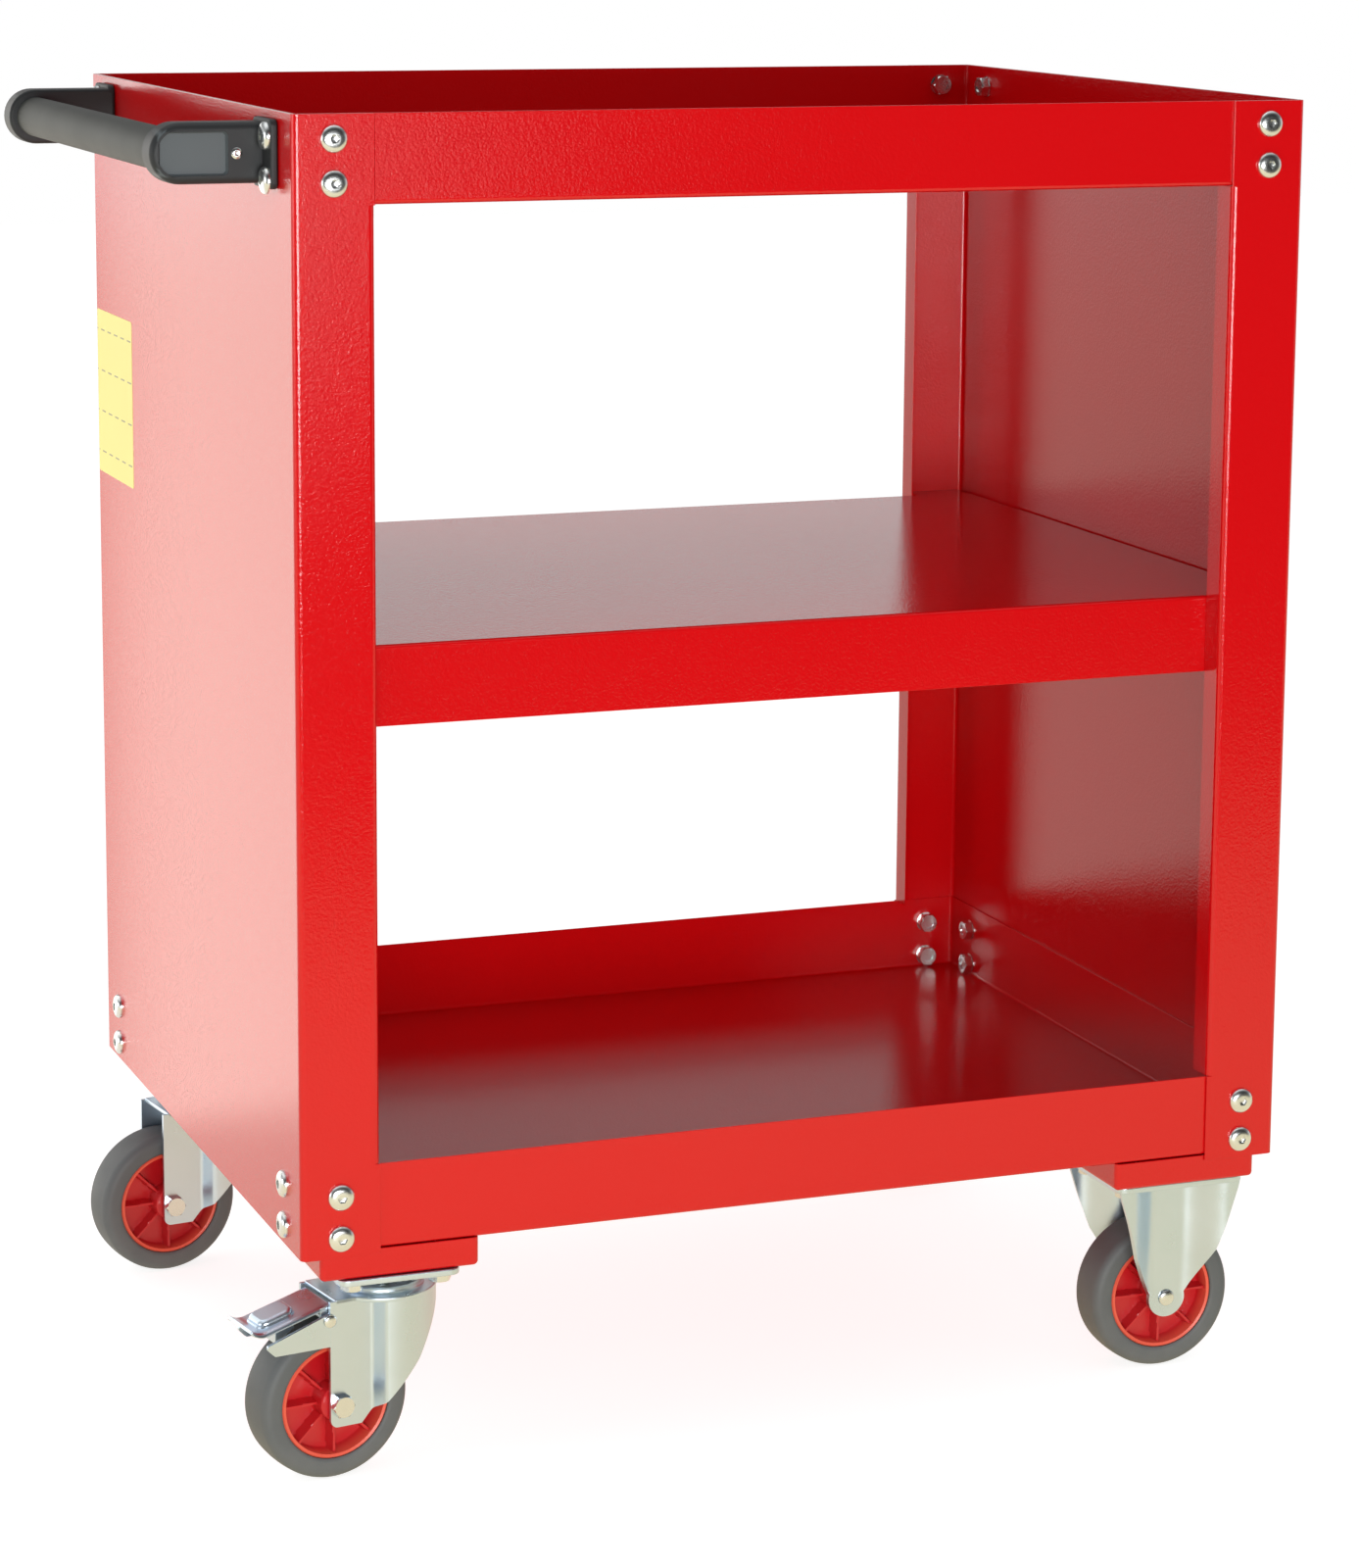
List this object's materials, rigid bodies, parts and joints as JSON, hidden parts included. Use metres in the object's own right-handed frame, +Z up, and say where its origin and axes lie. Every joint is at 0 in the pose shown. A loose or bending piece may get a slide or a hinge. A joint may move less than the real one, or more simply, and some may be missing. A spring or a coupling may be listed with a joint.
{
  "type": "utility cart",
  "caption": "Folded sheet-steel utility cart with a top tray, a middle shelf, a bottom tray, a side push handle, swivel castors at the handle end and fixed castors at the other.",
  "frame": {"origin": "on the floor under the middle of the whole cart's bounding box, handle included", "axes": "+X from the push handle towards the fixed-castor end, +Y from the open front towards the open back, +Z up"},
  "size_m": [0.738, 0.516, 0.84],
  "materials": {
    "body_paint": "glossy red powder coat with light orange peel",
    "caster_steel": "bright zinc plating",
    "fasteners": "bright zinc plating",
    "bearing": "polished and greased",
    "handle_bracket": "fine moulded texture",
    "handle_grip": "smooth plastic sleeve",
    "tyre": "grey rubber, dull",
    "wheel_hub": "moulded red plastic"
  },
  "bodies": {
    "root": {"bottom_tray": "body_paint", "front_left_bottom_post_bolts": "fasteners", "front_left_bottom_side_bolts": "fasteners", "front_left_caster_screws": "fasteners", "front_left_kingpin": "caster_steel", "front_left_plate": "caster_steel", "front_left_top_post_bolts": "fasteners", "front_left_top_side_bolts": "fasteners", "front_right_axle_rivet": "fasteners", "front_right_axle_sleeve": "caster_steel", "front_right_bottom_post_bolts": "fasteners", "front_right_bottom_side_bolts": "fasteners", "front_right_caster_screws": "fasteners", "front_right_fork": "caster_steel", "front_right_top_post_bolts": "fasteners", "front_right_top_side_bolts": "fasteners", "handle_bracket_front": "handle_bracket", "handle_bracket_rear": "handle_bracket", "handle_grip_tube": "handle_grip", "handle_neck_screw_front": "fasteners", "handle_neck_screw_rear": "fasteners", "left_caster_beam": "body_paint", "left_side_panel": "body_paint", "middle_shelf": "body_paint", "rear_left_bottom_post_bolts": "fasteners", "rear_left_bottom_side_bolts": "fasteners", "rear_left_caster_screws": "fasteners", "rear_left_kingpin": "caster_steel", "rear_left_plate": "caster_steel", "rear_left_top_post_bolts": "fasteners", "rear_left_top_side_bolts": "fasteners", "rear_right_axle_rivet": "fasteners", "rear_right_axle_sleeve": "caster_steel", "rear_right_bottom_post_bolts": "fasteners", "rear_right_bottom_side_bolts": "fasteners", "rear_right_caster_screws": "fasteners", "rear_right_fork": "caster_steel", "rear_right_top_post_bolts": "fasteners", "rear_right_top_side_bolts": "fasteners", "right_caster_beam": "body_paint", "right_side_panel": "body_paint", "top_tray": "body_paint"},
    "front_left_swivel": {"front_left_axle_bolt": "fasteners", "front_left_axle_sleeve": "caster_steel", "front_left_brake_pin": "fasteners", "front_left_fork": "caster_steel", "front_left_swivel_bearing": "bearing"},
    "front_left_brake": {"front_left_brake_pedal": "caster_steel"},
    "front_left_wheel": {"front_left_hub": "wheel_hub", "front_left_tyre": "tyre"},
    "front_right_wheel": {"front_right_hub": "wheel_hub", "front_right_tyre": "tyre"},
    "rear_left_swivel": {"rear_left_axle_bolt": "fasteners", "rear_left_axle_sleeve": "caster_steel", "rear_left_fork": "caster_steel", "rear_left_swivel_bearing": "bearing"},
    "rear_left_wheel": {"rear_left_hub": "wheel_hub", "rear_left_tyre": "tyre"},
    "rear_right_wheel": {"rear_right_hub": "wheel_hub", "rear_right_tyre": "tyre"}
  },
  "joints": [
    {"name": "front_left_swivel", "type": "hinge", "parent": "root", "child": "front_left_swivel", "pos_m": [-0.234, -0.208, 0.1175], "axis": [0, 0, 1], "continuous": true},
    {"name": "front_left_wheel_spin", "type": "hinge", "parent": "front_left_swivel", "child": "front_left_wheel", "pos_m": [-0.27142, -0.2146, 0.05], "axis": [-0.1736, 0.9848, 0], "continuous": true},
    {"name": "front_left_brake_press", "type": "hinge", "parent": "front_left_swivel", "child": "front_left_brake", "pos_m": [-0.27832, -0.21581, 0.105], "axis": [0.1736, -0.9848, 0], "range_deg": [0, 10]},
    {"name": "rear_left_swivel", "type": "hinge", "parent": "root", "child": "rear_left_swivel", "pos_m": [-0.234, 0.208, 0.1175], "axis": [0, 0, 1], "continuous": true},
    {"name": "rear_left_wheel_spin", "type": "hinge", "parent": "rear_left_swivel", "child": "rear_left_wheel", "pos_m": [-0.27163, 0.20271, 0.05], "axis": [-0.1392, 0.9903, 0], "continuous": true},
    {"name": "front_right_wheel_spin", "type": "hinge", "parent": "root", "child": "front_right_wheel", "pos_m": [0.302, -0.208, 0.05], "axis": [0, 1, 0], "continuous": true},
    {"name": "rear_right_wheel_spin", "type": "hinge", "parent": "root", "child": "rear_right_wheel", "pos_m": [0.302, 0.208, 0.05], "axis": [0, 1, 0], "continuous": true}
  ]
}
